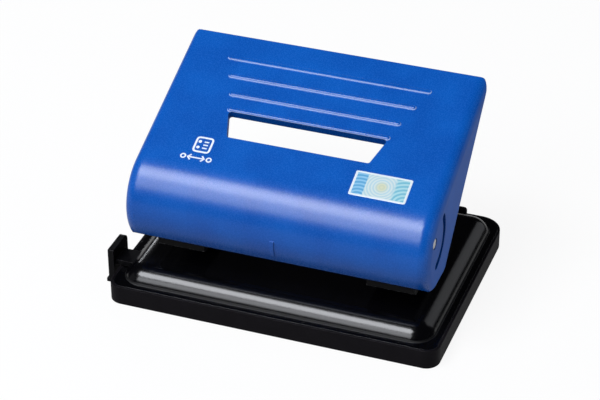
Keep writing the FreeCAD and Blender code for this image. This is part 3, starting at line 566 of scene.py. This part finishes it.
def ribbon(path, width, closed):
    """A flat strip of ink along a path of (x, y) points.

    Each point gets four corners: half the width to either side of the path's direction, at the panel and at the
    ink's height. An open ribbon's ends are closed by running its corners together.
    """
    path = np.asarray(path, float)
    ahead = np.roll(path, -1, axis=0) - np.roll(path, 1, axis=0)
    if not closed:
        ahead[0] = path[1] - path[0]
        ahead[-1] = path[-1] - path[-2]
    ahead /= np.linalg.norm(ahead, axis=1, keepdims=True)
    side = np.stack([-ahead[:, 1], ahead[:, 0]], axis=1)[:, None, :]
    offset = np.array([-1, 1, 1, -1])[None, :, None] * width / 2
    lift = np.broadcast_to(np.array([1, 1, 0, 0]) * ink, (len(path), 4))
    flat = path[:, None, :] + side * offset
    if closed:
        flat = np.concatenate([flat, flat[:1]])
        lift = np.concatenate([lift, lift[:1]])
    else:
        ends = [path[:1, None, :].repeat(4, axis=1), flat, path[-1:, None, :].repeat(4, axis=1)]
        flat = np.concatenate(ends)
        lift = np.concatenate([lift[:1] * 0 + ink / 2, lift, lift[-1:] * 0 + ink / 2])
    return on_panel(print_middle[0] + flat[..., 0], print_middle[1] + flat[..., 1], lift)


def ring_path(x, y, radius):
    """A circle."""
    a = np.linspace(0, 2 * math.pi, ring_points, endpoint=False)
    return np.stack([x + radius * np.cos(a), y + radius * np.sin(a)], axis=1)


def sheet_path(x, y, half_width, half_height):
    """The outline of a sheet with rounded corners."""
    across, up = superellipse(half_width, half_height, power=7, points=72)
    return np.stack([x + across, y + up], axis=1)


def line_path(*points):
    """A path through points that are given in millimetres."""
    return np.array(points) * mm


# %% [markdown]
# White pad print is a thin film of ink over the grain, so it is nearly white, a little uneven, and duller than the
# plastic under it.

# %% Print finish and marks
def white_ink():
    """Thin white ink with a slightly broken tone."""
    material, tree, shader = new_finish("white_ink", IOR=1.45)
    link = tree.links.new
    thin = noise(tree, metres(tree), 0.35 * mm, 3.0, 0.7)
    tone = blend_colours(tree, band(tree, thin, 0.5, 0.75, 0.0, 0.6), rgb(236, 241, 250), rgb(176, 196, 234))
    link(tone, shader.inputs["Base Color"])
    link(band(tree, thin, 0.3, 0.7, 0.45, 0.6), shader.inputs["Roughness"])
    link(bumps(tree, thin, 0.006 * mm), shader.inputs["Normal"])
    return material


white = white_ink()
outline_stroke = 0.75 * mm
hole_stroke = 0.6 * mm
line_stroke = 0.55 * mm
marks = {
    "sheet_outline": (sheet_path(0.6 * mm, 2.6 * mm, 3.0 * mm, 3.2 * mm), outline_stroke, True),
    "sheet_hole_upper": (ring_path(-1.0 * mm, 3.9 * mm, 0.32 * mm), hole_stroke, True),
    "sheet_hole_lower": (ring_path(-1.0 * mm, 1.3 * mm, 0.32 * mm), hole_stroke, True),
    "spacing_ring_left": (ring_path(-4.9 * mm, -3.5 * mm, 0.85 * mm), line_stroke, True),
    "spacing_ring_right": (ring_path(4.9 * mm, -3.5 * mm, 0.85 * mm), line_stroke, True),
    "spacing_arrow_line": (line_path((-2.9, -3.5), (0, -3.5), (2.9, -3.5)), line_stroke, False),
    "spacing_arrow_left": (line_path((-2.0, -2.3), (-3.2, -3.5), (-2.0, -4.7)), hole_stroke, False),
    "spacing_arrow_right": (line_path((2.0, -2.3), (3.2, -3.5), (2.0, -4.7)), hole_stroke, False),
}
top_line = 4.0
line_spacing = 1.4
for row in range(3):
    y = top_line - line_spacing * row
    marks["sheet_line_" + str(row + 1)] = (line_path((0.6, y), (1.4, y), (2.4, y)), line_stroke, False)
for name, (path, width, closed) in marks.items():
    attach(grid_piece("print_" + name, ribbon(path, width, closed), white, smooth=False), "lever")

# %% [markdown]
# ## The studio
# The punch stands on plain paper. Glossy black shows whatever is round it, so the room matters as much as the lamps
# do: a dark room keeps the enamel black, and only the soft boxes draw their long highlights on it. The paper is grey
# for the light that bounces off it, glows nearly white where the camera sees it, straight or through a clear piece,
# and about half as bright where a shiny surface mirrors it. It still takes a faint shadow. The room is white only
# where the camera looks past the paper's edge.

# %% Floor and room
def seen_directly(tree):
    """1 for rays that come from the camera, straight or through a clear piece, and 0 for all others."""
    rays = add(tree, "LightPath").outputs
    return sums(tree, "MAXIMUM", rays["Is Camera Ray"], rays["Is Transmission Ray"])


def floor_finish():
    """Studio paper: nearly white by itself in view and half so in gloss, and lamps and shadow do the rest."""
    material, tree, shader = new_finish("studio_paper", Roughness=0.9, Emission_Color=(1, 1, 1, 1))
    link = tree.links.new
    fibres = noise(tree, metres(tree), 3 * mm, 3.0, 0.6)
    paper = blend_colours(tree, fibres, rgb(112, 112, 112), rgb(104, 104, 105))
    rays = add(tree, "LightPath").outputs
    seen = seen_directly(tree)
    looked_at = sums(tree, "MAXIMUM", seen, rays["Is Glossy Ray"])
    link(blend_colours(tree, looked_at, paper, rgb(78, 78, 78)), shader.inputs["Base Color"])
    glow = sums(tree, "ADD", seen, sums(tree, "MULTIPLY", rays["Is Glossy Ray"], 0.45))
    link(sums(tree, "MULTIPLY", glow, 0.9), shader.inputs["Emission Strength"])
    return material


def studio_world():
    """A dark room for the light and the gloss, and a white one where the camera looks past the paper."""
    world = bpy.data.worlds.new("studio")
    world.use_nodes = True
    tree = world.node_tree
    background = tree.nodes["Background"].inputs
    room = blend_colours(tree, seen_directly(tree), rgb(26, 26, 28), rgb(246, 246, 246))
    tree.links.new(room, background["Color"])
    background["Strength"].default_value = 1.0
    return world


bpy.context.scene.world = studio_world()
reach = 3.0
floor_z = -0.05 * mm
corners = [(x, y, floor_z) for x, y in ((-reach, -reach), (reach, -reach), (reach, reach), (-reach, reach))]
floor_mesh = bpy.data.meshes.new("studio_floor")
floor_mesh.from_pydata(corners, [], [(0, 1, 2, 3)])
floor = bpy.data.objects.new("studio_floor", floor_mesh)
floor_mesh.materials.append(floor_finish())
bpy.context.scene.collection.objects.link(floor)
print("floor reaches", reach, "m to each side, at", floor_z / mm, "mm")

# %% [markdown]
# ## The lamps
# A shiny surface shows a lamp's shape, so each lamp is a rectangle that is described by how it looks from the punch:
# its direction, the angles that it fills and how bright it is. A sky image would light the punch as well, but its
# highlights couldn't be placed one by one. Two boxes stand overhead and towards the front, and they draw the long
# highlights on the nose and on the base's front shoulder. Three small ones draw the edges at the left and at the
# back. The last four only fill the sides with light and aren't mirrored.

# %% Soft boxes
cool_white = (0.93, 0.95, 1.0)
aimed_at = Vector((0, 0, 30 * mm))
key_distance = 1.3
side_distance = 1.5
leftward = 0.289


def soft_box(name, direction, distance, angles, radiance, glossy=True):
    """A rectangular soft box seen from the punch at these angles, in degrees, across and upright.

    A lamp's power is its radiance times pi times its area, so its look in a shiny surface can be set directly.
    """
    light = bpy.data.lights.new(name, "AREA")
    light.shape = "RECTANGLE"
    light.size, light.size_y = (2 * distance * math.tan(math.radians(angle) / 2) for angle in angles)
    light.energy = radiance * math.pi * light.size * light.size_y
    light.color = cool_white
    lamp = bpy.data.objects.new(name, light)
    away = Vector(direction).normalized()
    lamp.location = aimed_at + distance * away
    lamp.rotation_mode = "QUATERNION"
    lamp.rotation_quaternion = away.to_track_quat("Z", "Y")
    lamp.visible_glossy = glossy
    bpy.context.scene.collection.objects.link(lamp)
    print(name, "power in watts:", round(light.energy, 1))
    return lamp


def leaning(angle):
    """Direction of a lamp that leans this many degrees from overhead to the front, and a little to the left."""
    lean = math.radians(angle)
    upright = math.sqrt(1 - leftward ** 2)
    return (-leftward, -upright * math.sin(lean), upright * math.cos(lean))


soft_box("key_overhead", leaning(26), key_distance, (34, 19), 12.5)
soft_box("key_front", leaning(50), key_distance, (34, 18), 4.9)
soft_box("left_glow", (-0.9, -0.35, 0.3), side_distance, (30, 30), 0.15)
soft_box("back_glow", (0.45, 0.79, 0.36), side_distance, (22, 26), 0.6)
soft_box("edge_light", (-0.567, 0.791, 0.2), side_distance, (12, 6), 7)
fills = {
    "front_fill": ((0, -1, 0.2), 0.35),
    "left_fill": ((-1, 0, 0.3), 0.9),
    "right_fill": ((1, 0, 0.2), 2.2),
    "back_fill": ((0, 1, 0.5), 0.8),
}
for name, (direction, radiance) in fills.items():
    soft_box(name, direction, side_distance, (50, 40), radiance, glossy=False)

# %% [markdown]
# ## The camera
# A long lens from the front right, about a third of a right angle above the desk, gives the flat perspective of a
# catalogue picture. The camera's three axes are worked out from its azimuth, its elevation and a very small roll:
# first the axes of a level camera, then those turned about the line of sight.

# %% Camera
azimuth, elevation, roll = (math.radians(v) for v in (20.067, 32.583, -0.201))
camera_place = Vector((222.585, -620.027, 451.263)) * mm
ahead = Vector((-math.sin(azimuth) * math.cos(elevation), math.cos(azimuth) * math.cos(elevation),
                -math.sin(elevation)))
level_right = Vector((math.cos(azimuth), math.sin(azimuth), 0))
level_up = level_right.cross(ahead)
right = math.cos(roll) * level_right + math.sin(roll) * level_up
up = math.cos(roll) * level_up - math.sin(roll) * level_right
camera_data = bpy.data.cameras.new("camera")
camera_data.sensor_width = 36.0
camera_data.lens = 128.57
camera = bpy.data.objects.new("camera", camera_data)
turned = Matrix((right, up, -ahead)).transposed().to_4x4()
camera.matrix_world = Matrix.Translation(camera_place) @ turned
bpy.context.scene.collection.objects.link(camera)
bpy.context.scene.camera = camera
bpy.context.scene.view_settings.view_transform = "Standard"
print("camera stands", round((camera_place - aimed_at).length, 3), "m away")
